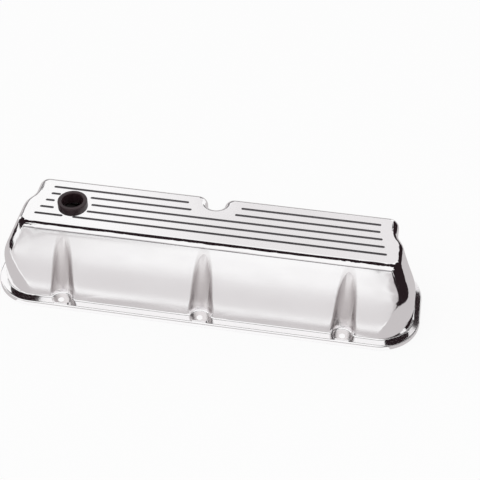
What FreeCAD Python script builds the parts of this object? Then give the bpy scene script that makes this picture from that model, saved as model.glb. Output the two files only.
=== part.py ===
"""Cast aluminium valve cover of a V8 engine, with its breather grommet and oil baffle.

Frame: X along the cover, Y from the exhaust side (negative) to the intake side,
Z up. The origin is the middle of the face that seats on the cylinder head.
Millimetres and degrees.
"""
import FreeCAD
import Part
import Sketcher
import math
import os

DOC = FreeCAD.newDocument("valve_cover")
V = FreeCAD.Vector

# Driving dimensions, alias and value
SIZES = [
    # Flange that seats on the cylinder head
    ("flange_length", 478.0),
    ("flange_width", 127.0),
    ("flange_thickness", 6.0),
    ("flange_corner_radius", 47.0),
    ("flange_edge_round", 2.0),
    # Hollow body above the flange, set in from the flange's edges
    ("end_inset", 8.0),
    ("exhaust_inset", 10.0),
    ("intake_inset", 5.7),
    ("cover_height", 88.0),
    ("exhaust_lean", 20.5),
    ("end_upright", 23.5),
    ("end_bend_radius", 75.0),
    ("end_slope", 24.5),
    ("corner_radius_low", 37.5),
    ("corner_radius_high", 11.5),
    ("corner_taper_height", 62.0),
    ("wall", 4.0),
    ("roof", 5.0),
    ("shoulder_radius", 9.5),
    ("faced_depth", 0.15),
    ("junction_radius", 2.0),
    # Six fixing bolts, each set in from an end or an edge of the flange
    ("bolt_hole", 7.0),
    ("exhaust_bolt_end", 82.0),
    ("exhaust_bolt_edge", 6.8),
    ("corner_bolt_end", 22.0),
    ("corner_bolt_edge", 22.1),
    ("middle_bolt_edge", 16.5),
    ("pad_diameter", 18.0),
    ("pad_height", 2.0),
    # Flutes that clear the bolts and their wrench
    ("flute_radius", 12.5),
    ("flute_lean", 13.3),
    ("flute_edge_round", 5.0),
    ("corner_flute_radius", 14.5),
    ("corner_flute_growth", 8.0),
    ("corner_flute_out", 10.0),
    ("corner_flute_forward", 7.4),
    ("corner_flute_splay", 34.0),
    ("corner_flute_end_round", 24.0),
    ("notch_radius", 9.5),
    ("mouth_round", 11.0),
    # Ball milled grooves in the deck
    ("groove_width", 3.3),
    ("groove_depth", 1.3),
    ("groove_pitch", 11.46),
    ("groove_edge", 23.7),
    ("groove_end", 56.0),
    ("groove_reach_step", 3.2),
    ("groove_notch_clearance", 32.0),
    ("groove_breather_clearance", 22.7),
    # Breather hole and its rubber grommet
    ("breather_end", 82.5),
    ("breather_edge", 48.0),
    ("breather_hole", 29.5),
    ("grommet_bore", 23.4),
    ("grommet_lip", 33.2),
    ("grommet_stand", 5.2),
    ("grommet_tuck", 4.0),
    ("grommet_barb", 1.4),
    ("grommet_lip_round", 1.6),
    # Oil baffle under the breather hole
    ("baffle_length", 76.0),
    ("baffle_width", 50.0),
    ("baffle_sheet", 1.5),
    ("baffle_drop", 16.0),
    ("baffle_lip", 7.0),
    ("baffle_bend", 3.0),
    ("baffle_drain", 6.0),
    ("baffle_screw_inset", 10.0),
    ("boss_diameter", 12.0),
    ("screw_thread", 4.8),
    ("screw_length", 12.0),
    ("screw_head", 9.5),
    ("screw_head_height", 3.0),
    ("screw_head_round", 1.2),
    ("screw_slot", 1.2),
    ("screw_clearance", 0.3),
    ("thread_clearance", 0.05),
]
GROOVE_COUNT = 5

# The grooves nearest the intake side that stop at the notch
NOTCHED_GROOVES = 2
# Bolts along the exhaust side
EXHAUST_BOLTS = 3
# How far a tool reaches past the metal that it cuts
OVERRUN = 2.0
# Two faces or edges closer than this are the same
TOUCH = 0.01


def make_sheet():
    """Write every driving dimension into the document's spreadsheet."""
    sheet = DOC.addObject("Spreadsheet::Sheet", "sizes")
    for row, (alias, value) in enumerate(SIZES, start=1):
        sheet.set("A%d" % row, alias)
        sheet.set("B%d" % row, str(value))
        sheet.setAlias("B%d" % row, alias)
    DOC.recompute()
    return sheet


SHEET = make_sheet()


def size(alias):
    """Value of a driving dimension, for a choice that a formula can't make."""
    return float(SHEET.get(alias))


def bind(item, target, formula):
    """Tie a property to a formula in which $name is a cell of the sheet."""
    item.setExpression(target, formula.replace("$", "sizes."))


def add(kind, name, **formulas):
    """Add a Part object and tie its properties to formulas."""
    item = DOC.addObject(kind, name)
    for target, formula in formulas.items():
        bind(item, target, formula)
    return item


def place(item, x, y, z, axis=None, angle=None):
    """Tie an object's place, and its turn about one axis, to formulas."""
    if axis:
        item.Placement = FreeCAD.Placement(V(0, 0, 0), FreeCAD.Rotation(axis, 1))
        bind(item, "Placement.Rotation.Angle", "(%s) * 1deg" % angle)
    bind(item, "Placement.Base.x", x)
    bind(item, "Placement.Base.y", y)
    bind(item, "Placement.Base.z", z)
    return item


def origin_plane(body, role):
    """One of the body's own origin planes or axes."""
    return [item for item in body.Origin.OriginFeatures if item.Role == role][0]


def new_sketch(body, name, height=None):
    """Sketch on the body's own XY plane, raised by a formula."""
    sketch = body.newObject("Sketcher::SketchObject", name)
    sketch.AttachmentSupport = [(origin_plane(body, "XY_Plane"), "")]
    sketch.MapMode = "FlatFace"
    if height:
        bind(sketch, "AttachmentOffset.Base.z", height)
    return sketch


def datum(sketch, kind, where, value, formula):
    """Dimensional constraint whose value follows a formula."""
    index = sketch.addConstraint(Sketcher.Constraint(kind, *where, value))
    bind(sketch, "Constraints[%d]" % index, formula)


def relate(sketch, *relations):
    """Geometric constraints, each given as a tuple."""
    for relation in relations:
        sketch.addConstraint(Sketcher.Constraint(*relation))


def line(sketch, x0, y0, x1, y1):
    return sketch.addGeometry(Part.LineSegment(V(x0, y0, 0), V(x1, y1, 0)))


def arc(sketch, x, y, radius, start, end):
    circle = Part.Circle(V(x, y, 0), V(0, 0, 1), radius)
    return sketch.addGeometry(
        Part.ArcOfCircle(circle, math.radians(start), math.radians(end)))


def edge_names(shape, test):
    """Names of the edges that pass a test."""
    return ["Edge%d" % (index + 1) for index, edge in enumerate(shape.Edges) if test(edge)]


def fillet(body, base, name, radius, test):
    """Round the edges of the base feature that pass a test."""
    DOC.recompute()
    names = edge_names(base.Shape, test)
    if not names:
        raise RuntimeError("no edge to round for " + name)
    item = body.newObject("PartDesign::Fillet", name)
    item.Base = (base, names)
    bind(item, "Radius", radius)
    body.Tip = item
    DOC.recompute()
    return item


# Places of the bolts, the breather and the grooves, set in from the flange's edges

EXHAUST_PITCH = "($flange_length / 2 - $exhaust_bolt_end)"
EXHAUST_BOLT_Y = "($exhaust_bolt_edge - $flange_width / 2)"
CORNER_BOLT_X = "($flange_length / 2 - $corner_bolt_end)"
CORNER_BOLT_Y = "($flange_width / 2 - $corner_bolt_edge)"
MIDDLE_BOLT_Y = "($flange_width / 2 - $middle_bolt_edge)"
BREATHER_X = "($breather_end - $flange_length / 2)"
BREATHER_Y = "($flange_width / 2 - $breather_edge)"
GROOVE_FIRST_Y = "($flange_width / 2 - $groove_edge)"
GROOVE_REACH = "($flange_length / 2 - $groove_end)"

# Body sections

HALF_LENGTH = "($flange_length / 2 - $end_inset)"
EXHAUST_FOOT = "($flange_width / 2 - $exhaust_inset)"
INTAKE_WALL = "($flange_width / 2 - $intake_inset)"
BEND_TOP = "($end_upright + $end_bend_radius * sin($end_slope * 1deg))"
BEND_INSET = "($end_bend_radius * (1 - cos($end_slope * 1deg)))"
BLANK_TOP = "($cover_height + $faced_depth)"
FOOT_STEPS = 4
BEND_STEPS = 4
SLOPE_STEPS = 5


def section_heights(top):
    """Height of each section and how far the end has come in there, as formulas."""
    stations = [("-$flange_thickness / 3", "0")]
    for step in range(1, FOOT_STEPS + 1):
        stations.append(("$end_upright * %g" % (step / FOOT_STEPS), "0"))
    for step in range(1, BEND_STEPS + 1):
        turn = "($end_slope * %g * 1deg)" % (step / BEND_STEPS)
        stations.append(("$end_upright + $end_bend_radius * sin(%s)" % turn,
                         "$end_bend_radius * (1 - cos(%s))" % turn))
    for step in range(1, SLOPE_STEPS + 1):
        height = "(%s + (%s - %s) * %g)" % (BEND_TOP, top, BEND_TOP, step / SLOPE_STEPS)
        stations.append((height, "%s + (%s - %s) * tan($end_slope * 1deg)"
                         % (BEND_INSET, height, BEND_TOP)))
    return stations


def add_section(body, name, height, end_in, skin):
    """Plan outline at one height: exhaust corners rounded, intake corners square."""
    sketch = new_sketch(body, name, height)
    half = size("flange_length") / 2 - size("end_inset")
    front = -(size("flange_width") / 2 - size("exhaust_inset"))
    back = size("flange_width") / 2 - size("intake_inset")
    radius = size("corner_radius_high")
    exhaust = line(sketch, -half + radius, front, half - radius, front)
    right_arc = arc(sketch, half - radius, front + radius, radius, 270, 360)
    right = line(sketch, half, front + radius, half, back)
    intake = line(sketch, half, back, -half, back)
    left = line(sketch, -half, back, -half, front + radius)
    left_arc = arc(sketch, -half + radius, front + radius, radius, 180, 270)
    relate(sketch,
           ("Tangent", exhaust, 2, right_arc, 1),
           ("Tangent", right_arc, 2, right, 1),
           ("Coincident", right, 2, intake, 1),
           ("Coincident", intake, 2, left, 1),
           ("Tangent", left, 2, left_arc, 1),
           ("Tangent", left_arc, 2, exhaust, 1),
           ("Horizontal", exhaust),
           ("Vertical", right),
           ("Vertical", left),
           ("Symmetric", intake, 1, intake, 2, -2),
           ("Equal", right_arc, left_arc))
    datum(sketch, "DistanceX", (-1, 1, right, 2), half,
          "%s - (%s) - %s" % (HALF_LENGTH, end_in, skin))
    datum(sketch, "DistanceY", (exhaust, 1, -1, 1), -front,
          "%s - (%s - $flange_thickness) * tan($exhaust_lean * 1deg) - %s"
          % (EXHAUST_FOOT, height, skin))
    datum(sketch, "DistanceY", (-1, 1, intake, 1), back, "%s - %s" % (INTAKE_WALL, skin))
    taper = ("min(1; max(0; (%s - $flange_thickness) / ($corner_taper_height - $flange_thickness)))"
             % height)
    datum(sketch, "Radius", (right_arc,), radius,
          "$corner_radius_high + ($corner_radius_low - $corner_radius_high)"
          " * (1 + cos(180deg * %s)) / 2 - %s" % (taper, skin))
    return sketch


def add_loft(body, name, top, skin):
    """Body of the cover, or of its hollow, lofted through its plan outlines."""
    sketches = [add_section(body, "%s_section_%d" % (name, index), height, end_in, skin)
                for index, (height, end_in) in enumerate(section_heights(top))]
    DOC.recompute()
    loft = body.newObject("PartDesign::AdditiveLoft", name)
    loft.Profile = sketches[0]
    loft.Sections = sketches[1:]
    loft.Ruled = False
    loft.Refine = False
    body.Tip = loft
    DOC.recompute()
    return loft


def cut_up(body, sketch, name):
    """Pocket a sketch upwards through everything."""
    pocket = body.newObject("PartDesign::Pocket", name)
    pocket.Profile = sketch
    pocket.Type = "ThroughAll"
    pocket.Reversed = True
    pocket.Refine = False
    body.Tip = pocket
    DOC.recompute()
    return pocket


def notch_sketch(body, name, skin):
    """Channel from the middle intake bolt out through the intake wall."""
    sketch = new_sketch(body, name, "-$flange_thickness")
    radius = size("notch_radius")
    y = size("flange_width") / 2 - size("middle_bolt_edge")
    out = size("flange_width")
    bottom = arc(sketch, 0, y, radius, 180, 360)
    right = line(sketch, radius, y, radius, out)
    far = line(sketch, radius, out, -radius, out)
    left = line(sketch, -radius, out, -radius, y)
    relate(sketch,
           ("Tangent", bottom, 2, right, 1),
           ("Coincident", right, 2, far, 1),
           ("Coincident", far, 2, left, 1),
           ("Tangent", left, 2, bottom, 1),
           ("Horizontal", far),
           ("Vertical", right),
           ("PointOnObject", bottom, 3, -2))
    datum(sketch, "Radius", (bottom,), radius, "$notch_radius + %s" % skin)
    datum(sketch, "DistanceY", (-1, 1, bottom, 3), y, MIDDLE_BOLT_Y)
    datum(sketch, "DistanceY", (-1, 1, far, 1), out, "$flange_width")
    return sketch


def corner_flute_sketch(body, name, skin, side, rise):
    """Outline of a corner flute below the seat, or with a rise of one above the deck.

    It runs from the end wall round the bolt and out through the intake wall.
    """
    sketch = new_sketch(body, name, "%d * ($cover_height + $flange_thickness)"
                        " - $flange_thickness / 2" % rise)
    radius = size("corner_flute_radius") + rise * size("corner_flute_growth")
    x = size("flange_length") / 2 - size("corner_bolt_end") + rise * size("corner_flute_out")
    y = size("flange_width") / 2 - size("corner_bolt_edge") - rise * size("corner_flute_forward")
    splay = size("corner_flute_splay")
    out_x = size("flange_length") / 2
    out_y = size("flange_width") / 2
    bend_x = x - radius * math.sin(math.radians(splay))
    bend_y = y - radius * math.cos(math.radians(splay))
    low_y = bend_y - (out_x - bend_x) * math.tan(math.radians(splay))
    if side > 0:
        back = arc(sketch, x, y, radius, 180, 270 - splay)
        inner, outer = 1, 2
    else:
        back = arc(sketch, -x, y, radius, 270 + splay, 360)
        inner, outer = 2, 1
    end_line = line(sketch, side * bend_x, bend_y, side * out_x, low_y)
    far_x = line(sketch, side * out_x, low_y, side * out_x, out_y)
    far_y = line(sketch, side * out_x, out_y, side * (x - radius), out_y)
    wall_line = line(sketch, side * (x - radius), out_y, side * (x - radius), y)
    relate(sketch,
           ("Tangent", back, outer, end_line, 1),
           ("Coincident", end_line, 2, far_x, 1),
           ("Coincident", far_x, 2, far_y, 1),
           ("Coincident", far_y, 2, wall_line, 1),
           ("Tangent", wall_line, 2, back, inner),
           ("Vertical", far_x),
           ("Horizontal", far_y),
           ("Vertical", wall_line))
    across = (-1, 1, back, 3) if side > 0 else (back, 3, -1, 1)
    beyond = (-1, 1, far_x, 1) if side > 0 else (far_x, 1, -1, 1)
    grown = "($corner_flute_radius + %d * $corner_flute_growth + %s)" % (rise, skin)
    centre_x = "(%s + %d * $corner_flute_out)" % (CORNER_BOLT_X, rise)
    centre_y = "(%s - %d * $corner_flute_forward)" % (CORNER_BOLT_Y, rise)
    datum(sketch, "Radius", (back,), radius, grown)
    datum(sketch, "DistanceX", across, x, centre_x)
    datum(sketch, "DistanceY", (-1, 1, back, 3), y, centre_y)
    datum(sketch, "DistanceX", beyond, out_x, "$flange_length / 2")
    datum(sketch, "DistanceY", (-1, 1, far_y, 1), out_y, "$flange_width / 2")
    datum(sketch, "DistanceY", (far_x, 1, back, 3), y - low_y,
          "%s / cos($corner_flute_splay * 1deg)"
          " + ($flange_length / 2 - %s) * tan($corner_flute_splay * 1deg)" % (grown, centre_x))
    return sketch


def cut_corner_flute(body, name, skin, side):
    """Flute that opens upwards between its outlines below the seat and above the deck."""
    low = corner_flute_sketch(body, name + "_low", skin, side, 0)
    high = corner_flute_sketch(body, name + "_high", skin, side, 1)
    DOC.recompute()
    flute = body.newObject("PartDesign::SubtractiveLoft", name)
    flute.Profile = low
    flute.Sections = [high]
    flute.Ruled = True
    flute.Refine = False
    body.Tip = flute
    DOC.recompute()
    return flute


def cut_flutes(body, base, name, skin):
    """Three leaning flutes over the exhaust bolts."""
    flute = body.newObject("PartDesign::SubtractiveCylinder", name)
    flute.AttachmentSupport = [(origin_plane(body, "XY_Plane"), "")]
    flute.MapMode = "FlatFace"
    flute.AttachmentOffset = FreeCAD.Placement(V(0, 0, 0), FreeCAD.Rotation(V(1, 0, 0), 1))
    bind(flute, "AttachmentOffset.Rotation.Angle", "-$flute_lean * 1deg")
    bind(flute, "AttachmentOffset.Base.x", "-" + EXHAUST_PITCH)
    bind(flute, "AttachmentOffset.Base.y",
         EXHAUST_BOLT_Y + " - 2 * $flange_thickness * tan($flute_lean * 1deg)")
    bind(flute, "AttachmentOffset.Base.z", "-$flange_thickness")
    bind(flute, "Radius", "$flute_radius + %s" % skin)
    bind(flute, "Height", "2 * $cover_height")
    flute.Refine = False
    body.Tip = flute
    DOC.recompute()
    pattern = body.newObject("PartDesign::LinearPattern", name + "_row")
    pattern.Originals = [flute]
    pattern.Direction = (origin_plane(body, "X_Axis"), [""])
    bind(pattern, "Length", "2 * " + EXHAUST_PITCH)
    pattern.Occurrences = EXHAUST_BOLTS
    pattern.Refine = False
    body.Tip = pattern
    DOC.recompute()
    return pattern


def round_form(body, carved, skin):
    """Round the mouths of the notch and flutes, the ends and the shoulder of the deck."""
    wall_y = max(point.Y for point in carved.Shape.Vertexes)
    top_z = max(point.Z for point in carved.Shape.Vertexes)

    def at_mouth(edge):
        box = edge.BoundBox
        return box.ZLength > size("cover_height") / 2 and box.YMin > wall_y - TOUCH

    def at_end(edge):
        box = edge.BoundBox
        return box.XLength > OVERRUN and box.ZLength > OVERRUN and box.YMin > 0

    def at_top(edge):
        return edge.BoundBox.ZMin > top_z - TOUCH

    mouths = fillet(body, carved, "mouth_rounds", "$mouth_round - " + skin, at_mouth)
    ends = fillet(body, mouths, "end_rounds", "$corner_flute_end_round - " + skin, at_end)
    return fillet(body, ends, "shoulder", "$shoulder_radius - " + skin, at_top)


def make_form(name, top, skin):
    """The casting's outer form, or its hollow set in by the skin."""
    body = DOC.addObject("PartDesign::Body", name)
    add_loft(body, name + "_shell", top, skin)
    cut_up(body, notch_sketch(body, "notch_outline", skin), "notch")
    cut_corner_flute(body, "left_flute", skin, -1)
    carved = cut_corner_flute(body, "right_flute", skin, 1)
    rounded = round_form(body, carved, skin)
    return body, cut_flutes(body, rounded, "flute", skin)


# The casting

def flange_outline(body, name, inset="0"):
    """Outline of the flange: a long oblong with large corner rounds."""
    sketch = new_sketch(body, name)
    half = size("flange_length") / 2
    deep = size("flange_width") / 2
    radius = size("flange_corner_radius")
    ring = [
        line(sketch, -half + radius, -deep, half - radius, -deep),
        arc(sketch, half - radius, -deep + radius, radius, 270, 360),
        line(sketch, half, -deep + radius, half, deep - radius),
        arc(sketch, half - radius, deep - radius, radius, 0, 90),
        line(sketch, half - radius, deep, -half + radius, deep),
        arc(sketch, -half + radius, deep - radius, radius, 90, 180),
        line(sketch, -half, deep - radius, -half, -deep + radius),
        arc(sketch, -half + radius, -deep + radius, radius, 180, 270),
    ]
    for index, item in enumerate(ring):
        relate(sketch, ("Tangent", item, 2, ring[(index + 1) % len(ring)], 1))
    exhaust, near_arc, right, far_arc, intake, back_arc, left, last_arc = ring
    relate(sketch,
           ("Horizontal", exhaust),
           ("Vertical", right),
           ("Horizontal", intake),
           ("Vertical", left),
           ("Symmetric", far_arc, 3, last_arc, 3, -1, 1),
           ("Equal", near_arc, far_arc),
           ("Equal", far_arc, back_arc))
    datum(sketch, "Radius", (near_arc,), radius, "$flange_corner_radius - " + inset)
    datum(sketch, "DistanceX", (left, 2, right, 1), 2 * half, "$flange_length - 2 * " + inset)
    datum(sketch, "DistanceY", (exhaust, 2, intake, 1), 2 * deep,
          "$flange_width - 2 * " + inset)
    return sketch


def cut_block(body, name, low, height):
    """Mill off a slab as large as the flange, between two heights."""
    block = body.newObject("PartDesign::SubtractiveBox", name)
    block.AttachmentSupport = [(origin_plane(body, "XY_Plane"), "")]
    block.MapMode = "FlatFace"
    bind(block, "AttachmentOffset.Base.x", "-$flange_length")
    bind(block, "AttachmentOffset.Base.y", "-$flange_width")
    bind(block, "AttachmentOffset.Base.z", low)
    bind(block, "Length", "2 * $flange_length")
    bind(block, "Width", "2 * $flange_width")
    bind(block, "Height", height)
    block.Refine = False
    body.Tip = block
    DOC.recompute()
    return block


def make_blank():
    """Solid outer form of the casting with its flange, faced top and bottom."""
    body, fluted = make_form("blank", BLANK_TOP, "0")
    across = size("flute_radius")
    half = size("flange_length") / 2
    outermost = half - size("exhaust_bolt_end") + 1.5 * across
    deep = size("flange_width") / 2
    plate = size("flange_thickness")

    def at_flute(edge):
        box = edge.BoundBox
        return box.YMax < 0 and box.ZLength > 2 * across \
            and across / 4 < box.XLength < 3 * across \
            and max(-box.XMin, box.XMax) < outermost

    def on_rim(edge):
        box = edge.BoundBox
        return abs(box.ZMin - plate) < TOUCH and box.ZLength < TOUCH and (
            box.YMin < TOUCH - deep or box.YMax > deep - TOUCH
            or box.XMin < TOUCH - half or box.XMax > half - TOUCH)

    def at_foot(edge):
        box = edge.BoundBox
        return abs(box.ZMin - plate) < TOUCH and box.ZLength < TOUCH and not on_rim(edge)

    softened = fillet(body, fluted, "flute_rounds", "$flute_edge_round", at_flute)
    outline = flange_outline(body, "flange_outline")
    flange = body.newObject("PartDesign::Pad", "flange")
    flange.Profile = outline
    bind(flange, "Length", "$flange_thickness")
    flange.Refine = False
    body.Tip = flange
    foot = fillet(body, flange, "foot_round", "$junction_radius", at_foot)
    fillet(body, foot, "rim_round", "$flange_edge_round", on_rim)
    cut_block(body, "deck_facing", "$cover_height", "$cover_height")
    cut_block(body, "seat_facing", "-$cover_height", "$cover_height")
    return body


BAFFLE_Z = "($cover_height - $roof - $baffle_drop)"
SCREW_REACH = "($baffle_length / 2 - $baffle_screw_inset)"
SCREW_SPREAD = "($baffle_width / 2 - $baffle_screw_inset)"
SCREWS = [(-1, -1), (1, -1), (1, 1), (-1, 1)]


def screw_place(side_x, side_y):
    """Where a baffle screw stands, as formulas."""
    return ("%s + %d * %s" % (BREATHER_X, side_x, SCREW_REACH),
            "%s + %d * %s" % (BREATHER_Y, side_y, SCREW_SPREAD))


def make_hollow():
    """Hollow of the casting, with four bosses for the baffle left standing in it."""
    body, fluted = make_form("hollow", "($cover_height - $roof)", "$wall")
    for index, (side_x, side_y) in enumerate(SCREWS, start=1):
        x, y = screw_place(side_x, side_y)
        boss = body.newObject("PartDesign::SubtractiveCylinder", "boss_%d" % index)
        boss.AttachmentSupport = [(origin_plane(body, "XY_Plane"), "")]
        boss.MapMode = "FlatFace"
        bind(boss, "AttachmentOffset.Base.x", x)
        bind(boss, "AttachmentOffset.Base.y", y)
        bind(boss, "AttachmentOffset.Base.z", BAFFLE_Z)
        bind(boss, "Radius", "$boss_diameter / 2")
        bind(boss, "Height", "$cover_height")
        boss.Refine = False
        body.Tip = boss
        DOC.recompute()
    return body


def bolt_places():
    """Name and place of each of the six bolts."""
    places = [("exhaust_%d" % (index + 1),
               "%d * %s" % (index - EXHAUST_BOLTS // 2, EXHAUST_PITCH), EXHAUST_BOLT_Y)
              for index in range(EXHAUST_BOLTS)]
    places.append(("left_corner", "-" + CORNER_BOLT_X, CORNER_BOLT_Y))
    places.append(("right_corner", CORNER_BOLT_X, CORNER_BOLT_Y))
    places.append(("middle", "0", MIDDLE_BOLT_Y))
    return places


def cylinder(name, x, y, z, radius, height):
    """Upright cylinder with its foot at a point."""
    item = add("Part::Cylinder", name, Radius=radius, Height=height)
    return place(item, x, y, z)


def fuse(name, parts):
    item = DOC.addObject("Part::MultiFuse", name)
    item.Shapes = parts
    return item


def cut(name, base, tool):
    item = DOC.addObject("Part::Cut", name)
    item.Base = base
    item.Tool = tool
    return item


def make_pads():
    """Raised bolt seats, kept inside the rounded rim of the flange."""
    limit = DOC.addObject("PartDesign::Body", "pad_limit")
    slab = limit.newObject("PartDesign::Pad", "pad_slab")
    slab.Profile = flange_outline(limit, "pad_outline", "$flange_edge_round")
    bind(slab, "Length", "$flange_thickness + $pad_height")
    limit.Tip = slab
    discs = [cylinder("pad_" + name, x, y, "$flange_thickness / 2", "$pad_diameter / 2",
                      "$flange_thickness / 2 + $pad_height")
             for name, x, y in bolt_places() if name != "middle"]
    pads = DOC.addObject("Part::Common", "pads")
    pads.Base = fuse("pad_discs", discs)
    pads.Tool = limit
    return pads


def groove_segments(index):
    """Line of a groove, and the start and end of each stretch of it, as formulas."""
    y = "(%s - %d * $groove_pitch)" % (GROOVE_FIRST_Y, index)
    from_edge = size("groove_edge") + index * size("groove_pitch")
    reach = "(%s + $groove_reach_step * %d)" % (GROOVE_REACH, max(0, index - 1))
    stops = [(BREATHER_X, BREATHER_Y, "breather_edge", "groove_breather_clearance")]
    if index < NOTCHED_GROOVES:
        stops.append(("0", MIDDLE_BOLT_Y, "middle_bolt_edge", "groove_notch_clearance"))
    start = "-" + reach
    segments = []
    for x, centre_y, edge, radius in stops:
        if abs(from_edge - size(edge)) < size(radius):
            half = "sqrt($%s ^ 2 - (%s - %s) ^ 2)" % (radius, y, centre_y)
            segments.append((start, "(%s - %s)" % (x, half)))
            start = "(%s + %s)" % (x, half)
    segments.append((start, reach))
    return y, segments


def make_grooves():
    """Paths of the ball mill along the deck."""
    ball = "(($groove_width ^ 2 / 4 + $groove_depth ^ 2) / (2 * $groove_depth))"
    height = "$cover_height - $groove_depth + " + ball
    tools = []
    for index in range(GROOVE_COUNT):
        y, segments = groove_segments(index)
        for part, (start, end) in enumerate(segments, start=1):
            name = "groove_%d_%d" % (index + 1, part)
            run = add("Part::Cylinder", name, Radius=ball, Height="%s - %s" % (end, start))
            tools.append(place(run, start, y, height, V(0, 1, 0), "90"))
            for tip, x in (("start", start), ("end", end)):
                sphere = add("Part::Sphere", "%s_%s" % (name, tip), Radius=ball)
                tools.append(place(sphere, x, y, height))
    return tools


def make_holes():
    """Drills for the bolts, the breather and the baffle's screws."""
    over = "-$flange_thickness"
    drills = [cylinder("hole_" + name, x, y, over, "$bolt_hole / 2", "4 * $flange_thickness")
              for name, x, y in bolt_places()]
    drills.append(cylinder("breather_hole_drill", BREATHER_X, BREATHER_Y,
                           "$cover_height - 2 * $roof", "$breather_hole / 2", "3 * $roof"))
    for index, (side_x, side_y) in enumerate(SCREWS, start=1):
        x, y = screw_place(side_x, side_y)
        drills.append(cylinder("pilot_%d" % index, x, y, BAFFLE_Z + " - $baffle_sheet",
                               "$screw_thread / 2 + $thread_clearance",
                               "$screw_length + 2 * $baffle_sheet"))
    return drills


def make_cover():
    """The casting: blank, hollow, bolt seats, then the machining."""
    shell = cut("shell", make_blank(), make_hollow())
    casting = fuse("casting", [shell, make_pads()])
    machining = fuse("machining", make_grooves() + make_holes())
    return cut("cover", casting, machining)


# Breather grommet

def make_grommet():
    """Rubber grommet pressed into the breather hole, its barb gripping under the roof."""
    body = DOC.addObject("PartDesign::Body", "breather_grommet")
    sketch = body.newObject("Sketcher::SketchObject", "grommet_profile")
    sketch.AttachmentSupport = [(origin_plane(body, "XZ_Plane"), "")]
    sketch.MapMode = "FlatFace"
    bore = size("grommet_bore") / 2
    waist = size("breather_hole") / 2
    lip = size("grommet_lip") / 2
    barb = waist + size("grommet_barb")
    deep = size("roof")
    points = [(bore, -deep - size("grommet_tuck")), (waist, -deep - size("grommet_tuck")),
              (barb, -deep), (waist, -deep), (waist, 0), (lip, 0),
              (lip, size("grommet_stand")), (bore, size("grommet_stand"))]
    ring = [line(sketch, *points[index], *points[(index + 1) % len(points)])
            for index in range(len(points))]
    foot, taper, catch, neck, seat, side, top, inside = ring
    for index, item in enumerate(ring):
        relate(sketch, ("Coincident", item, 2, ring[(index + 1) % len(ring)], 1))
    relate(sketch,
           ("Horizontal", foot), ("Horizontal", catch), ("Vertical", neck),
           ("Horizontal", seat), ("Vertical", side), ("Horizontal", top),
           ("Vertical", inside), ("Vertical", foot, 2, catch, 2),
           ("PointOnObject", seat, 1, -1))
    datum(sketch, "DistanceX", (-1, 1, inside, 1), bore, "$grommet_bore / 2")
    datum(sketch, "DistanceX", (-1, 1, neck, 1), waist, "$breather_hole / 2")
    datum(sketch, "DistanceX", (catch, 2, catch, 1), barb - waist, "$grommet_barb")
    datum(sketch, "DistanceX", (-1, 1, side, 1), lip, "$grommet_lip / 2")
    datum(sketch, "DistanceY", (seat, 1, side, 2), size("grommet_stand"), "$grommet_stand")
    datum(sketch, "DistanceY", (catch, 1, seat, 1), deep, "$roof")
    datum(sketch, "DistanceY", (foot, 1, catch, 1), size("grommet_tuck"), "$grommet_tuck")
    turned = body.newObject("PartDesign::Revolution", "grommet_turned")
    turned.Profile = sketch
    turned.ReferenceAxis = (sketch, ["V_Axis"])
    turned.Refine = False
    body.Tip = turned

    def on_lip(edge):
        return edge.BoundBox.ZMin > 0.1 and edge.BoundBox.ZLength < TOUCH

    fillet(body, turned, "lip_round", "$grommet_lip_round", on_lip)
    return place(body, BREATHER_X, BREATHER_Y, "$cover_height")


# Oil baffle and its screws

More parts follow.
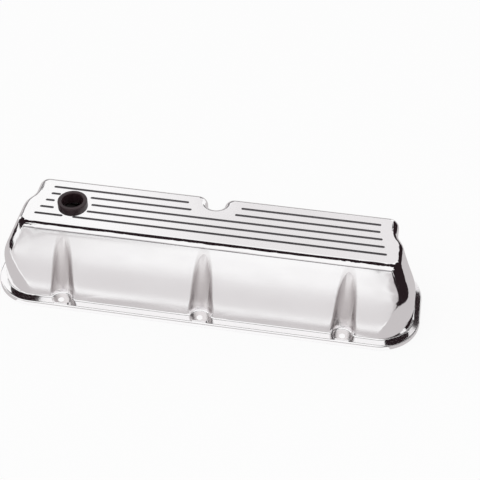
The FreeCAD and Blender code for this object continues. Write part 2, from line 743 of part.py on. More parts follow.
def make_baffle():
    """Pressed sheet with its two long sides turned up, held under the breather hole."""
    body = DOC.addObject("PartDesign::Body", "oil_baffle")
    box = body.newObject("PartDesign::AdditiveBox", "baffle_form")
    box.AttachmentSupport = [(origin_plane(body, "XY_Plane"), "")]
    box.MapMode = "FlatFace"
    bind(box, "AttachmentOffset.Base.x", "-$baffle_length / 2")
    bind(box, "AttachmentOffset.Base.y", "-$baffle_width / 2")
    bind(box, "AttachmentOffset.Base.z", "-$baffle_sheet")
    bind(box, "Length", "$baffle_length")
    bind(box, "Width", "$baffle_width")
    bind(box, "Height", "$baffle_lip")
    body.Tip = box

    def at_outer_bend(edge):
        limits = edge.BoundBox
        return limits.ZMax < 0 and limits.XLength > limits.YLength

    def at_inner_bend(edge):
        limits = edge.BoundBox
        return abs(limits.ZMax) < TOUCH and limits.ZLength < TOUCH \
            and limits.XLength > limits.YLength

    fillet(body, box, "outer_bends", "$baffle_bend", at_outer_bend)
    channel = body.newObject("PartDesign::SubtractiveBox", "baffle_channel")
    channel.AttachmentSupport = [(origin_plane(body, "XY_Plane"), "")]
    channel.MapMode = "FlatFace"
    bind(channel, "AttachmentOffset.Base.x", "-$baffle_length")
    bind(channel, "AttachmentOffset.Base.y", "-($baffle_width / 2 - $baffle_sheet)")
    bind(channel, "Length", "2 * $baffle_length")
    bind(channel, "Width", "$baffle_width - 2 * $baffle_sheet")
    bind(channel, "Height", "2 * $baffle_lip")
    body.Tip = channel
    fillet(body, channel, "inner_bends", "$baffle_bend - $baffle_sheet", at_inner_bend)
    radius = "$screw_thread / 2 + $screw_clearance"
    openings = [("screw_hole_%d" % (index + 1), "%d * %s" % (side_x, SCREW_REACH),
                 "%d * %s" % (side_y, SCREW_SPREAD), radius)
                for index, (side_x, side_y) in enumerate(SCREWS)]
    openings += [("left_drain", "-$baffle_length / 4", "0", "$baffle_drain / 2"),
                 ("right_drain", "$baffle_length / 4", "0", "$baffle_drain / 2")]
    for name, x, y, hole_radius in openings:
        hole = body.newObject("PartDesign::SubtractiveCylinder", name)
        hole.AttachmentSupport = [(origin_plane(body, "XY_Plane"), "")]
        hole.MapMode = "FlatFace"
        bind(hole, "AttachmentOffset.Base.x", x)
        bind(hole, "AttachmentOffset.Base.y", y)
        bind(hole, "AttachmentOffset.Base.z", "-2 * $baffle_sheet")
        bind(hole, "Radius", hole_radius)
        bind(hole, "Height", "4 * $baffle_sheet")
        body.Tip = hole
        DOC.recompute()
    return place(body, BREATHER_X, BREATHER_Y, BAFFLE_Z)


def make_screw(index):
    """Self-tapping screw driven up through the baffle into its boss."""
    body = DOC.addObject("PartDesign::Body", "baffle_screw_%d" % (index + 1))
    head = body.newObject("PartDesign::AdditiveCylinder", "head_%d" % (index + 1))
    head.AttachmentSupport = [(origin_plane(body, "XY_Plane"), "")]
    head.MapMode = "FlatFace"
    bind(head, "AttachmentOffset.Base.z", "-$screw_head_height")
    bind(head, "Radius", "$screw_head / 2")
    bind(head, "Height", "$screw_head_height")
    body.Tip = head

    def at_crown(edge):
        return edge.BoundBox.ZMax < -TOUCH and edge.BoundBox.ZLength < TOUCH

    crown = fillet(body, head, "crown_%d" % (index + 1), "$screw_head_round", at_crown)
    shank = body.newObject("PartDesign::AdditiveCylinder", "shank_%d" % (index + 1))
    shank.AttachmentSupport = [(origin_plane(body, "XY_Plane"), "")]
    shank.MapMode = "FlatFace"
    bind(shank, "Radius", "$screw_thread / 2")
    bind(shank, "Height", "$screw_length")
    body.Tip = shank
    for turn, (long_side, short_side) in enumerate([("Length", "Width"), ("Width", "Length")]):
        slot = body.newObject("PartDesign::SubtractiveBox", "slot_%d_%d" % (index + 1, turn + 1))
        slot.AttachmentSupport = [(origin_plane(body, "XY_Plane"), "")]
        slot.MapMode = "FlatFace"
        bind(slot, long_side, "$screw_head / 2")
        bind(slot, short_side, "$screw_slot")
        bind(slot, "Height", "$screw_head_height")
        across = {"Length": "x", "Width": "y"}
        bind(slot, "AttachmentOffset.Base." + across[long_side], "-$screw_head / 4")
        bind(slot, "AttachmentOffset.Base." + across[short_side], "-$screw_slot / 2")
        bind(slot, "AttachmentOffset.Base.z", "-1.4 * $screw_head_height")
        body.Tip = slot
        DOC.recompute()
    x, y = screw_place(*SCREWS[index])
    return place(body, x, y, BAFFLE_Z + " - $baffle_sheet")


def export(nodes):
    """Refuse a faulty document, then write one STEP file for each piece."""
    DOC.recompute()
    for item in DOC.Objects:
        if "Invalid" in item.State or "Error" in item.State:
            raise RuntimeError("%s is %s" % (item.Name, item.State))
    os.makedirs("parts", exist_ok=True)
    for node in nodes:
        node.Label = node.Name
        if node.Shape.isNull() or not node.Shape.isValid() or len(node.Shape.Solids) != 1:
            raise RuntimeError("%s is not one sound solid" % node.Name)
        node.Shape.exportStep("parts/%s.step" % node.Label)


export([make_cover(), make_grommet(), make_baffle()]
       + [make_screw(index) for index in range(len(SCREWS))])
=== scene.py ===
"""Engine valve cover: dresses the fixed frame with its polished casting, rubber and sheet.

Metres, in the frame's own axes: X along the cover, -Y towards the exhaust side, Z up.
"""
import math

import bmesh
import bpy
from mathutils import Matrix, Vector


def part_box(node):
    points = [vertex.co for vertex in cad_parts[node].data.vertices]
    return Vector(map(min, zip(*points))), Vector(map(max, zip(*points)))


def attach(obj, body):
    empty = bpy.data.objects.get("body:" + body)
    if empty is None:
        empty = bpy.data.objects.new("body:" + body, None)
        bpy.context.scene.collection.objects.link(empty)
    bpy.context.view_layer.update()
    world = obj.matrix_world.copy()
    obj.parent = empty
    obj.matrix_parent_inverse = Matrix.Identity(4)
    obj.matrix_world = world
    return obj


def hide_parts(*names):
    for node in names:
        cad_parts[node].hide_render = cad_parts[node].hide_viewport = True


bl_info = {
    "name": "Engine Valve Cover",
    "version": (1, 0, 0),
    "blender": (4, 5, 0),
    "location": "View3D > Sidebar > Valve Cover",
    "description": "Polished cast valve cover with its grommet, baffle and screws",
    "category": "Object",
}

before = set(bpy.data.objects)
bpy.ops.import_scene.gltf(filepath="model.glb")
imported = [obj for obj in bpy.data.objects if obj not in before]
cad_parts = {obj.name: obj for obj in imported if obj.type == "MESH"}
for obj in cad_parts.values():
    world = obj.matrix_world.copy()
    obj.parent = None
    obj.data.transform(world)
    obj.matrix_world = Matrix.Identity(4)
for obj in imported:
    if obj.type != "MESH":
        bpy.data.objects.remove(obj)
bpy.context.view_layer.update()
MM = 0.001
SCREW_COUNT = 4


# Shader expressions

class Wire:
    """A value in a material's nodes, with Python's arithmetic for its Math nodes."""

    def __init__(self, bench, socket):
        self.bench = bench
        self.socket = socket

    def _math(self, operation, first, second=0.0):
        return self.bench.node("ShaderNodeMath", {"operation": operation},
                               {0: first, 1: second})

    def __add__(self, other):
        return self._math("ADD", self, other)

    __radd__ = __add__

    def __sub__(self, other):
        return self._math("SUBTRACT", self, other)

    def __rsub__(self, other):
        return self._math("SUBTRACT", other, self)

    def __mul__(self, other):
        return self._math("MULTIPLY", self, other)

    __rmul__ = __mul__

    def __truediv__(self, other):
        return self._math("DIVIDE", self, other)

    def __abs__(self):
        return self._math("ABSOLUTE", self)

    def power(self, other):
        return self._math("POWER", self, other)

    def least(self, other):
        return self._math("MINIMUM", self, other)

    def span(self, low, high):
        """0 at low, 1 at high, smooth between and level outside."""
        return self.bench.node(
            "ShaderNodeMapRange", {"interpolation_type": "SMOOTHSTEP", "clamp": True},
            {"Value": self, "From Min": low, "From Max": high})


class Bench:
    """One material and the nodes that are put into it."""

    def __init__(self, name):
        self.material = bpy.data.materials.new(name)
        self.material.use_nodes = True
        self.tree = self.material.node_tree
        self.tree.nodes.clear()

    def node(self, kind, settings=None, inputs=None, output=0):
        """Add a node: settings first, then a value or a link for each socket."""
        item = self.tree.nodes.new(kind)
        for name, value in (settings or {}).items():
            setattr(item, name, value)
        for name, value in (inputs or {}).items():
            if isinstance(value, Wire):
                self.tree.links.new(value.socket, item.inputs[name])
            else:
                item.inputs[name].default_value = value
        return Wire(self, item.outputs[output]) if len(item.outputs) else None

    def place(self):
        """The point being shaded, in the frame's axes."""
        return self.node("ShaderNodeTexCoord", output="Object")

    def split(self, vector):
        """X, Y and Z of a vector."""
        item = self.node("ShaderNodeSeparateXYZ", inputs={0: vector})
        return [Wire(self, output) for output in item.socket.node.outputs]

    def noise(self, scale, detail, stretch=(1.0, 1.0, 1.0)):
        """Noise in the frame's axes, finer along an axis with a larger stretch."""
        vector = self.node("ShaderNodeMapping", inputs={"Vector": self.place(),
                                                        "Scale": stretch})
        return self.node("ShaderNodeTexNoise", inputs={
            "Vector": vector, "Scale": scale, "Detail": detail})

    def mix(self, factor, first, second):
        """Colour between two colours or links."""
        item = self.node("ShaderNodeMix", {"data_type": "RGBA"})
        node = item.socket.node
        for index, value in ((0, factor), (6, first), (7, second)):
            if isinstance(value, Wire):
                self.tree.links.new(value.socket, node.inputs[index])
            else:
                node.inputs[index].default_value = value if index == 0 else (*value, 1.0)
        return Wire(self, node.outputs[2])

    def bump(self, height, distance, normal=None):
        inputs = {"Height": height, "Distance": distance, "Strength": 1.0}
        if normal:
            inputs["Normal"] = normal
        return self.node("ShaderNodeBump", inputs=inputs)

    def surface(self, **inputs):
        """Finish with a Principled shader, whose sockets are named with underscores."""
        named = {name.replace("_", " "): value for name, value in inputs.items()}
        shader = self.node("ShaderNodeBsdfPrincipled", inputs=named)
        self.node("ShaderNodeOutputMaterial", inputs={"Surface": shader})
        return self.material


# Meshes

# Points of the fixed shape that lie closer than this are one
WELD = MM / 1000


def smooth_copy(node, name):
    """Piece on a node's own shape, its loose triangles joined and shaded smooth."""
    mesh = bpy.data.meshes.new(name)
    shape = bmesh.new()
    shape.from_mesh(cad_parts[node].data)
    bmesh.ops.remove_doubles(shape, verts=shape.verts, dist=WELD)
    crease = math.radians(bpy.context.scene.cover_finish.crease_angle)
    for face in shape.faces:
        face.smooth = True
        face.material_index = 0
    for edge in shape.edges:
        edge.smooth = len(edge.link_faces) == 2 and edge.calc_face_angle(0.0) < crease
    shape.to_mesh(mesh)
    shape.free()
    piece = bpy.data.objects.new(name, mesh)
    bpy.context.scene.collection.objects.link(piece)
    mesh.materials.clear()
    return piece


def dress(piece, node, *materials):
    """Give a piece its materials, and let it stand for its node."""
    for material in materials:
        piece.data.materials.append(material)
    weighted = piece.modifiers.new("weighted_normals", "WEIGHTED_NORMAL")
    weighted.keep_sharp = True
    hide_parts(node)
    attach(piece, "root")


# The casting's surfaces, by index in its material list
POLISHED, AS_CAST, MACHINED, MILLED = range(4)
# Limits of the deck's grooves: X either way, Y, and Z
GROOVE_REACH = 0.197
GROOVE_Y = (-0.010, 0.0425)
GROOVE_Z = (0.08655, 0.08797)
# Middle and reach of the notch, whose shoulder is kept out of the grooves
NOTCH_MIDDLE = Vector((0.0, 0.047))
NOTCH_REACH = 0.0215
# Z of a face's normal: under the first it faces down, within the second it is upright
FACING_DOWN = -0.99
UPRIGHT = 0.5
# Level faces under the first height are the seat, and those over the second the roof
SEAT_TOP = 0.05 * MM
ROOF_LOWEST = 50 * MM


def in_groove(middle, breather, breather_reach):
    """Whether a face's middle lies in one of the deck's grooves."""
    return GROOVE_Z[0] < middle.z < GROOVE_Z[1] and abs(middle.x) < GROOVE_REACH \
        and GROOVE_Y[0] < middle.y < GROOVE_Y[1] \
        and (middle.xy - NOTCH_MIDDLE).length > NOTCH_REACH \
        and (middle.xy - breather).length > breather_reach


def sort_surfaces(mesh):
    """Mark the hollow as cast, the seat as machined and the grooves as milled."""
    shape = bmesh.new()
    shape.from_mesh(mesh)
    seat = [face for face in shape.faces
            if face.normal.z < FACING_DOWN and face.calc_center_median().z < SEAT_TOP]
    for face in seat:
        face.material_index = MACHINED
    roof = max((face for face in shape.faces if face.normal.z < FACING_DOWN
                and face.calc_center_median().z > ROOF_LOWEST),
               key=lambda face: face.calc_area())
    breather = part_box("breather_grommet")
    centre = (breather[0] + breather[1]) / 2
    reach = (breather[1].x - breather[0].x) / 2
    reached = {roof}
    edge_of_work = [roof]
    while edge_of_work:
        face = edge_of_work.pop()
        face.material_index = AS_CAST
        for edge in face.edges:
            for other in edge.link_faces:
                middle = other.calc_center_median()
                in_breather = (middle.xy - centre.xy).length < reach \
                    and abs(other.normal.z) < UPRIGHT
                if other in reached or other.material_index == MACHINED or in_breather:
                    continue
                reached.add(other)
                edge_of_work.append(other)
    for face in shape.faces:
        if face.material_index == POLISHED \
                and in_groove(face.calc_center_median(), centre.xy, reach):
            face.material_index = MILLED
    shape.to_mesh(mesh)
    shape.free()


# Materials

# Flutes over the exhaust bolts: pitch, radius, and their axis' Y at the seat and rise with Z
FLUTE_PITCH = 0.157
FLUTE_RADIUS = 0.0125
FLUTE_Y = -0.0581
FLUTE_SLOPE = 0.2364
# Heights over which the painted shade in the flutes sets in above the flange and fades below the
# deck
FLUTE_START = (8.5 * MM, 12 * MM)
FLUTE_FADE = (50 * MM, 80 * MM)
FLUTE_FADED = 0.7
# Distances from a flute's axis over which its painted shade ends, and from its middle to its
# sides, where that shade is darkest
FLUTE_EDGE = (FLUTE_RADIUS + 0.2 * MM, FLUTE_RADIUS + 2.5 * MM)
FLUTE_SIDE = (3 * MM, 12 * MM)
# Where the satin wall sets in above the flange, and ends below the shoulder and at the sides
WALL_FOOT = (9 * MM, 16 * MM)
WALL_TOP = (70 * MM, 79 * MM)
WALL_END = (190 * MM, 204 * MM)
# The two tints between which each metal varies
BRIGHT_CASTING = ((0.94, 0.93, 0.935), (0.97, 0.96, 0.965))
# Painted shade in the flutes: the first tint in their middle, the darker second at their sides
SHADED_FLUTE = ((0.80, 0.77, 0.77), (0.42, 0.39, 0.39))
SAND_CASTING = ((0.42, 0.42, 0.42), (0.58, 0.575, 0.57))
CUT_SEAT = ((0.74, 0.74, 0.75), (0.84, 0.84, 0.85))
# Baffle sheet tints, darkened with painted shade for the dim inside of the cover
SHADED_SHEET = ((0.30, 0.29, 0.28), (0.42, 0.41, 0.40))
ZINC_PLATE = ((0.55, 0.56, 0.58), (0.70, 0.71, 0.73))


def lighter(color, times):
    """A colour made lighter by a factor."""
    return tuple(times * part for part in color)


def flute_masks(x, y, z):
    """Where the casting is hollowed by a flute, and where in it the sides are: the masks of the
    painted shade in the flutes.
    """
    across = abs(x).least(abs(abs(x) - FLUTE_PITCH))
    off_axis = (y - FLUTE_Y - z * FLUTE_SLOPE) / math.hypot(1.0, FLUTE_SLOPE)
    distance = (across.power(2) + off_axis.power(2)).power(0.5)
    inside = z.span(*FLUTE_START) * (1 - distance.span(*FLUTE_EDGE))
    return inside * (1 - z.span(*FLUTE_FADE) * FLUTE_FADED), across.span(*FLUTE_SIDE)


def polished_aluminium(finish):
    """Buffed casting: mirror-like flange and shoulders, satin walls, rougher flutes with painted
    shade in them, slow waves.
    """
    bench = Bench("polished_aluminium")
    x, y, z = bench.split(bench.place())
    wall = z.span(*WALL_FOOT) * (1 - z.span(*WALL_TOP)) * (1 - abs(x).span(*WALL_END))
    buffing = bench.noise(30, 3, (1.0, 1.0, 2.5))
    cloudy = bench.noise(12, 2)
    roughness = finish.mirror_roughness + wall * (finish.satin_roughness
                                                  - finish.mirror_roughness)
    roughness = roughness + (buffing - 0.5) * 0.08 + (cloudy - 0.5) * 0.05
    waves = bench.noise(22, 1)
    grain = bench.noise(900, 2)
    normal = bench.bump(waves, finish.wave_height)
    normal = bench.bump(grain * (0.35 + wall), finish.grain_height, normal)
    # Painted shade in the flutes, darkest at their sides and fading out below the deck
    inside, side = flute_masks(x, y, z)
    bright = bench.mix(cloudy, *BRIGHT_CASTING)
    flute_shade = bench.mix(side, *SHADED_FLUTE)
    tint = bench.mix(inside, bright, flute_shade)
    return bench.surface(Base_Color=tint, Metallic=1.0, Roughness=roughness + inside * 0.12,
                         Normal=normal)


def cast_aluminium(finish):
    """Inside of the casting, with the grain of the sand mould."""
    bench = Bench("cast_aluminium")
    sand = bench.noise(700, 4)
    patches = bench.noise(25, 3)
    normal = bench.bump(sand, finish.cast_grain)
    tint = bench.mix(patches, *SAND_CASTING)
    return bench.surface(Base_Color=tint, Metallic=0.85,
                         Roughness=0.5 + patches * 0.15, Normal=normal)


def machined_seat():
    """Milled face of the flange, with the cutter's arcs left on it."""
    bench = Bench("machined_seat")
    arcs = bench.node("ShaderNodeTexWave", {"wave_type": "RINGS", "rings_direction": "Z"}, {
        "Vector": bench.place(), "Scale": 260.0, "Distortion": 0.6})
    normal = bench.bump(arcs, 0.01 * MM)
    tint = bench.mix(arcs, *CUT_SEAT)
    return bench.surface(Base_Color=tint, Metallic=1.0, Roughness=0.26 + arcs * 0.08,
                         Normal=normal)


def milled_groove(finish):
    """Bare cut left by the ball mill, darkened with painted shade that stands in for the dark
    reflections in it, in mottled streaks.
    """
    bench = Bench("milled_groove")
    groove_mottle = bench.noise(400, 3, (0.2, 1.0, 1.0))
    # Painted shade in the grooves, mottled up to twice as light
    tint = bench.mix(groove_mottle, finish.groove_shade, lighter(finish.groove_shade, 2.0))
    return bench.surface(Base_Color=tint, Metallic=0.6, Roughness=0.45 + groove_mottle * 0.15,
                         Normal=bench.bump(groove_mottle, 0.02 * MM))


def moulded_rubber(finish):
    """Black rubber with a trace of brown and some dust."""
    bench = Bench("moulded_rubber")
    dust = bench.noise(260, 4)
    blotch = bench.noise(60, 2)
    normal = bench.bump(dust, 0.06 * MM)
    tint = bench.mix(blotch, finish.rubber_color, lighter(finish.rubber_color, 2.2))
    return bench.surface(Base_Color=tint, Roughness=0.26 + dust * 0.16,
                         Specular_IOR_Level=0.4, Normal=normal)


def rolled_sheet():
    """Mill-finish sheet with the rolls' lines along it, its colour darkened with painted shade
    for the dim inside of the cover.
    """
    bench = Bench("rolled_sheet")
    lines = bench.noise(500, 3, (0.04, 1.0, 1.0))
    shade_patches = bench.noise(40, 3)
    normal = bench.bump(lines, 0.012 * MM)
    # Painted shade: the sheet's dark tints, varied in patches
    tint = bench.mix(shade_patches, *SHADED_SHEET)
    return bench.surface(Base_Color=tint, Metallic=1.0, Roughness=0.3 + lines * 0.15,
                         Normal=normal)


def plated_steel():
    """Zinc plate, slightly mottled."""
    bench = Bench("plated_steel")
    mottle = bench.noise(900, 3)
    tint = bench.mix(mottle, *ZINC_PLATE)
    return bench.surface(Base_Color=tint, Metallic=1.0, Roughness=0.28 + mottle * 0.15,
                         Normal=bench.bump(mottle, 0.01 * MM))


# Settings that a user would change

class CoverFinish(bpy.types.PropertyGroup):
    """How the metal and the rubber are finished."""
    crease_angle: bpy.props.FloatProperty(
        name="Crease angle", description="Edges sharper than this stay crisp, in degrees",
        default=28.0, min=1.0, max=90.0)
    mirror_roughness: bpy.props.FloatProperty(
        name="Mirror roughness", description="Gloss of the shoulders, deck and flange",
        default=0.08, min=0.0, max=1.0)
    satin_roughness: bpy.props.FloatProperty(
        name="Satin roughness", description="Gloss of the walls between flange and shoulder",
        default=0.11, min=0.0, max=1.0)
    wave_height: bpy.props.FloatProperty(
        name="Wave height", description="Slow unevenness that the buffing wheel leaves",
        default=0.03 * MM, min=0.0, unit="LENGTH", precision=6)
    grain_height: bpy.props.FloatProperty(
        name="Grain height", description="Fine texture of the satin walls",
        default=0.004 * MM, min=0.0, unit="LENGTH", precision=6)
    cast_grain: bpy.props.FloatProperty(
        name="Cast grain", description="Depth of the sand's texture inside",
        default=0.15 * MM, min=0.0, unit="LENGTH", precision=6)
    # The darkest painted shade of the milled grooves
    groove_shade: bpy.props.FloatVectorProperty(
        name="Groove colour", description="Darkest colour in the milled grooves",
        default=(0.07, 0.065, 0.07), subtype="COLOR", size=3, min=0.0, max=1.0)
    rubber_color: bpy.props.FloatVectorProperty(
        name="Rubber colour", description="Darkest colour of the grommet",
        default=(0.018, 0.009, 0.011), subtype="COLOR", size=3, min=0.0, max=1.0)


class StudioSettings(bpy.types.PropertyGroup):
    """Floor, sky and lamp."""
    floor_color: bpy.props.FloatVectorProperty(
        name="Floor colour", description="Colour of the floor's paint",
        default=(0.92, 0.92, 0.92), subtype="COLOR", size=3, min=0.0, max=1.0)
    floor_glow: bpy.props.FloatProperty(
        name="Floor glow", description="How far the floor fades to white for the camera",
        default=0.85, min=0.0, max=1.0)
    floor_mirror: bpy.props.FloatProperty(
        name="Mirrored glow",
        description="How far the floor beyond the cards fades to white in the metal",
        default=0.8, min=0.0, max=1.0)
    sky_strength: bpy.props.FloatProperty(
        name="Sky strength", description="Level of the even light all round",
        default=0.85, min=0.0)
    key_power: bpy.props.FloatProperty(
        name="Key light", description="Power of the large lamp above", default=3.0,
        min=0.0, unit="POWER")


# Pieces

class COVER_OT_casting(bpy.types.Operator):
    """Dress the casting: polished outside, as cast inside, milled seat"""
    bl_idname = "valve_cover.casting"
    bl_label = "Casting"

    def execute(self, context):
        finish = context.scene.cover_finish
        piece = smooth_copy("cover", "polished_casting")
        sort_surfaces(piece.data)
        dress(piece, "cover", polished_aluminium(finish), cast_aluminium(finish),
              machined_seat(), milled_groove(finish))
        return {"FINISHED"}


class COVER_OT_grommet(bpy.types.Operator):
    """Dress the rubber grommet"""
    bl_idname = "valve_cover.grommet"
    bl_label = "Breather grommet"

    def execute(self, context):
        piece = smooth_copy("breather_grommet", "rubber_grommet")
        dress(piece, "breather_grommet", moulded_rubber(context.scene.cover_finish))
        return {"FINISHED"}


class COVER_OT_baffle(bpy.types.Operator):
    """Dress the oil baffle and its four screws"""
    bl_idname = "valve_cover.baffle"
    bl_label = "Oil baffle and screws"

    def execute(self, context):
        dress(smooth_copy("oil_baffle", "baffle_plate"), "oil_baffle", rolled_sheet())
        steel = plated_steel()
        for index in range(1, SCREW_COUNT + 1):
            node = "baffle_screw_%d" % index
            dress(smooth_copy(node, "plated_screw_%d" % index), node, steel)
        return {"FINISHED"}


# Stage

# Shades of the studio's cards
BLACK = (0.02, 0.013, 0.015)
GREY = (0.25, 0.24, 0.245)
SHADE = (0.76, 0.74, 0.75)
PALE = (0.84, 0.825, 0.83)
GROUND = (0.58, 0.555, 0.56)
BAND = (0.72, 0.70, 0.705)
WHITE = (1.0, 1.0, 1.0)
# Camera fitted to the photograph: degrees, metres and lens in millimetres
AZIMUTH, ELEVATION, ROLL = 9.24, 43.1, 0.58
AIM = Vector((0.03483, 0.0, 0.07792))
DISTANCE = 1.2488
LENS = 86.06
SENSOR = 36.0
# How far the camera sees, and half the side of the floor
SIGHT = 20.0
FLOOR_REACH = 6.0
# Lamp overhead: where it hangs, what it is aimed at, its width and its depth
KEY_PLACE = (0.1, -0.3, 1.6)
KEY_AIM = (0.0, 0.0, 0.0)
KEY_WIDTH = 1.6
KEY_DEPTH = 1.2
# Distance of a card from the cover, unless it stands close to a spot of it
CARD_DISTANCE = 1.5
# Heights of the cards that lie on the floor, one over the other
FIRST_LAYER = 0.2 * MM
SECOND_LAYER = 0.3 * MM
THIRD_LAYER = 0.4 * MM
FOURTH_LAYER = 0.5 * MM


def camera_axes():
    """Right, up and back of the camera."""
    turn = math.radians(AZIMUTH)
    rise = math.radians(ELEVATION)
    back = Vector((math.sin(turn) * math.cos(rise), -math.cos(turn) * math.cos(rise),
                   math.sin(rise)))
    right = (-back).cross(Vector((0, 0, 1))).normalized()
    up = right.cross(-back)
    tilt = math.radians(ROLL)
    return (right * math.cos(tilt) + up * math.sin(tilt),
            up * math.cos(tilt) - right * math.sin(tilt), back)


def add_camera():
    right, up, back = camera_axes()
    data = bpy.data.cameras.new("camera")
    data.lens = LENS
    data.sensor_width = SENSOR
    data.clip_end = SIGHT
    camera = bpy.data.objects.new("camera", data)
    turn = Matrix((right, up, back)).transposed().to_4x4()
    camera.matrix_world = Matrix.Translation(AIM + back * DISTANCE) @ turn
    bpy.context.scene.collection.objects.link(camera)
    bpy.context.scene.camera = camera


def add_lamp(name, place, aim, width, depth, power):
    data = bpy.data.lights.new(name, "AREA")
    data.shape = "RECTANGLE"
    data.size = width
    data.size_y = depth
    data.energy = power
    lamp = bpy.data.objects.new(name, data)
    direction = Vector(aim) - Vector(place)
    lamp.matrix_world = Matrix.Translation(place) @ direction.to_track_quat(
        "-Z", "Y").to_matrix().to_4x4()
    lamp.visible_glossy = False
    bpy.context.scene.collection.objects.link(lamp)


def add_floor(studio):
    """White floor that keeps the shadow and melts into the background."""
    shape = bmesh.new()
    bmesh.ops.create_grid(shape, x_segments=1, y_segments=1, size=FLOOR_REACH)
    mesh = bpy.data.meshes.new("floor")
    shape.to_mesh(mesh)
    shape.free()
    floor = bpy.data.objects.new("floor", mesh)
    bpy.context.scene.collection.objects.link(floor)
    bench = Bench("floor")
    paint = bench.node("ShaderNodeBsdfDiffuse", inputs={"Color": (*studio.floor_color, 1.0)})
    glow = bench.node("ShaderNodeEmission", inputs={"Color": (*WHITE, 1.0), "Strength": 1.0})
    seen = bench.node("ShaderNodeLightPath", output="Is Camera Ray")
    mirrored = bench.node("ShaderNodeLightPath", output="Is Glossy Ray")
    share = seen * studio.floor_glow + mirrored * studio.floor_mirror
    mixed = bench.node("ShaderNodeMixShader", inputs={0: share, 1: paint, 2: glow})
    bench.node("ShaderNodeOutputMaterial", inputs={"Surface": mixed})
    mesh.materials.append(bench.material)


def add_card(name, shade, matrix, fade=None):
    """Card that only the metal's reflections see: a unit square put in place by a matrix.

    Fade gives two values of X: the card goes from white at the first to its shade.
    """
    shape = bmesh.new()
    bmesh.ops.create_grid(shape, x_segments=1, y_segments=1, size=0.5)
    bmesh.ops.transform(shape, verts=shape.verts, matrix=matrix)
    mesh = bpy.data.meshes.new(name)
    shape.to_mesh(mesh)
    shape.free()
    card = bpy.data.objects.new(name, mesh)
    bpy.context.scene.collection.objects.link(card)
    for ray in ("camera", "diffuse", "shadow", "transmission"):
        setattr(card, "visible_" + ray, False)
    bench = Bench(name)
    color = (*shade, 1.0)
    if fade:
        x, _, _ = bench.split(bench.place())
        color = bench.mix(x.span(*fade), WHITE, shade)
    paint = bench.node("ShaderNodeEmission", inputs={"Color": color})
    bench.node("ShaderNodeOutputMaterial", inputs={"Surface": paint})
    mesh.materials.append(bench.material)


def facing(azimuth, elevation, width, height, distance=CARD_DISTANCE, seen_from=(0, 0, 0)):
    """Place of a card that faces the cover, or a spot of it.

    Its middle lies at an azimuth and elevation in degrees, counted as the camera's are,
    and its width and height are angles too.
    """
    turn = math.radians(azimuth)
    rise = math.radians(elevation)
    outward = Vector((math.sin(turn) * math.cos(rise), -math.cos(turn) * math.cos(rise),
                      math.sin(rise)))
    across = 2 * distance * math.tan(math.radians(width) / 2)
    up = 2 * distance * math.tan(math.radians(height) / 2)
    return Matrix.Translation(Vector(seen_from) + outward * distance) \
        @ (-outward).to_track_quat("Z", "Y").to_matrix().to_4x4() \
        @ Matrix.Diagonal((across, up, 1.0, 1.0))


def lying(x, y, width, depth, height):
    """Place of a level card, on the floor or at a height."""
    return Matrix.Translation((x, y, height)) @ Matrix.Diagonal((width, depth, 1.0, 1.0))


def standing(start, end, low, high):
    """Place of an upright card between two points of the floor and two heights."""
    start, end = Vector((*start, low)), Vector((*end, low))
    middle = (start + end) / 2 + Vector((0, 0, (high - low) / 2))
    along = end - start
    turn = Matrix((along, Vector((0, 0, high - low)), along.cross(Vector((0, 0, 1)))))
    return Matrix.Translation(middle) @ turn.transposed().to_4x4()


# Spots of the cover from which the near cards are placed
LEFT_SHOULDER = (-0.205, -0.033, 0.083)
LEFT_FLANGE = (-0.215, -0.045, 0.015)
RIGHT_FLANGE = (0.215, -0.045, 0.015)
RIGHT_WALL = (0.207, -0.037, 0.07)
RIGHT_SHOULDER = (0.207, -0.037, 0.083)
RIGHT_SIDE = (0.21, -0.03, 0.06)
RIGHT_END = (0.213, -0.01, 0.083)
RIGHT_BACK = (0.212, 0.045, 0.085)
# The low cards at the right: where they start, meet and end, and their lower and upper edges
LOW_START = (0.225, -0.275)
LOW_MIDDLE = (0.469, -0.007)
LOW_END = (0.429, 0.153)
LOW_EDGES = (0.015, 0.088)
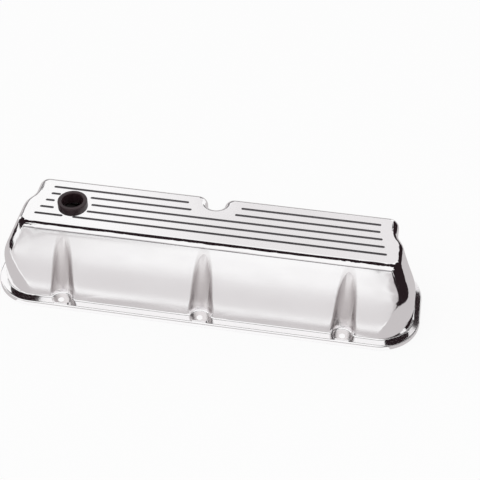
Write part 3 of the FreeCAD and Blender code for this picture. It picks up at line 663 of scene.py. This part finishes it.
# Every card: its name, its shade, its place and, where it fades, the two values of X
CARDS = (
    ("arris_card", BLACK, lying(0.0, -0.0245, 0.46, 0.025, 0.115)),
    ("left_card", BLACK, facing(-78, 36, 80, 72, 0.06, LEFT_SHOULDER)),
    ("low_left_card", BLACK, facing(-75, 6.5, 64, 11, 0.25, LEFT_FLANGE)),
    ("right_card", BLACK, facing(62, 18, 84, 30, 0.10, RIGHT_WALL)),
    ("corner_card", BLACK, facing(95, 45, 90, 50, 0.05, RIGHT_SHOULDER)),
    ("side_card", BLACK, facing(115, 20, 30, 28, 0.15, RIGHT_SIDE)),
    ("low_right_card", BLACK, standing(LOW_START, LOW_MIDDLE, *LOW_EDGES)),
    ("far_right_card", BLACK, standing(LOW_MIDDLE, LOW_END, *LOW_EDGES)),
    ("end_card", BLACK, facing(140, 12, 36, 40, 0.15, RIGHT_END)),
    ("back_right_card", BLACK, facing(157, 20, 36, 44, 0.06, RIGHT_BACK)),
    ("back_card", GREY, facing(192, 14, 50, 20)),
    ("back_left_card", GREY, facing(-138, 14, 30, 20)),
    ("high_left_card", BLACK, facing(-112, 56, 44, 24, 0.2, LEFT_FLANGE)),
    ("high_right_card", BLACK, facing(106, 57, 50, 28, 0.2, RIGHT_FLANGE)),
    ("deck_card", PALE, facing(185, 44, 70, 20), (-0.5, -0.1)),
    ("horizon_card", GREY, facing(-8, 9, 60, 12)),
    ("haze_card", SHADE, facing(-8, 18, 60, 8)),
    ("ground_card", GROUND, lying(0.0, 0.0, 6.0, 6.0, FIRST_LAYER)),
    ("front_card", WHITE, lying(-0.489, -1.6, 1.422, 2.84, SECOND_LAYER)),
    ("near_card", WHITE, lying(0.0, -0.0605, 0.42, 0.016, SECOND_LAYER)),
    ("left_front_card", GROUND, lying(-0.9, -1.6, 1.2, 2.84, THIRD_LAYER), (-0.3, -0.8)),
    ("band_card", BAND, lying(-0.289, -0.45, 1.022, 0.42, FOURTH_LAYER)),
)


def set_world(studio):
    """Even white dome; the camera and the reflections see plain white."""
    world = bpy.data.worlds.new("dome")
    world.use_nodes = True
    tree = world.node_tree
    tree.nodes.clear()
    light = tree.nodes.new("ShaderNodeBackground")
    light.inputs["Strength"].default_value = studio.sky_strength
    shown = tree.nodes.new("ShaderNodeBackground")
    path = tree.nodes.new("ShaderNodeLightPath")
    either = tree.nodes.new("ShaderNodeMath")
    either.operation = "MAXIMUM"
    mixed = tree.nodes.new("ShaderNodeMixShader")
    out = tree.nodes.new("ShaderNodeOutputWorld")
    for background in (light, shown):
        background.inputs["Color"].default_value = (*WHITE, 1.0)
    tree.links.new(path.outputs["Is Camera Ray"], either.inputs[0])
    tree.links.new(path.outputs["Is Glossy Ray"], either.inputs[1])
    tree.links.new(either.outputs[0], mixed.inputs[0])
    tree.links.new(light.outputs[0], mixed.inputs[1])
    tree.links.new(shown.outputs[0], mixed.inputs[2])
    tree.links.new(mixed.outputs[0], out.inputs["Surface"])
    bpy.context.scene.world = world


class COVER_OT_stage(bpy.types.Operator):
    """Set up the floor, the lamp, the cards and the camera"""
    bl_idname = "valve_cover.stage"
    bl_label = "Stage"

    def execute(self, context):
        studio = context.scene.cover_studio
        context.scene.view_settings.view_transform = "Standard"
        set_world(studio)
        add_floor(studio)
        add_lamp("key", KEY_PLACE, KEY_AIM, KEY_WIDTH, KEY_DEPTH, studio.key_power)
        for card in CARDS:
            add_card(*card)
        add_camera()
        return {"FINISHED"}


class COVER_PT_panel(bpy.types.Panel):
    """Lists the pieces and the settings"""
    bl_label = "Valve Cover"
    bl_idname = "COVER_PT_panel"
    bl_space_type = "VIEW_3D"
    bl_region_type = "UI"
    bl_category = "Valve Cover"

    def draw(self, context):
        for operator in OPERATORS:
            self.layout.operator(operator.bl_idname)
        for group in (context.scene.cover_finish, context.scene.cover_studio):
            for name in group.__annotations__:
                self.layout.prop(group, name)


OPERATORS = (COVER_OT_casting, COVER_OT_grommet, COVER_OT_baffle, COVER_OT_stage)
CLASSES = (CoverFinish, StudioSettings, *OPERATORS, COVER_PT_panel)


def register():
    for item in CLASSES:
        bpy.utils.register_class(item)
    bpy.types.Scene.cover_finish = bpy.props.PointerProperty(type=CoverFinish)
    bpy.types.Scene.cover_studio = bpy.props.PointerProperty(type=StudioSettings)


def unregister():
    del bpy.types.Scene.cover_studio
    del bpy.types.Scene.cover_finish
    for item in reversed(CLASSES):
        bpy.utils.unregister_class(item)


def main():
    register()
    bpy.ops.valve_cover.casting()
    bpy.ops.valve_cover.grommet()
    bpy.ops.valve_cover.baffle()
    bpy.ops.valve_cover.stage()


if __name__ == "__main__":
    main()
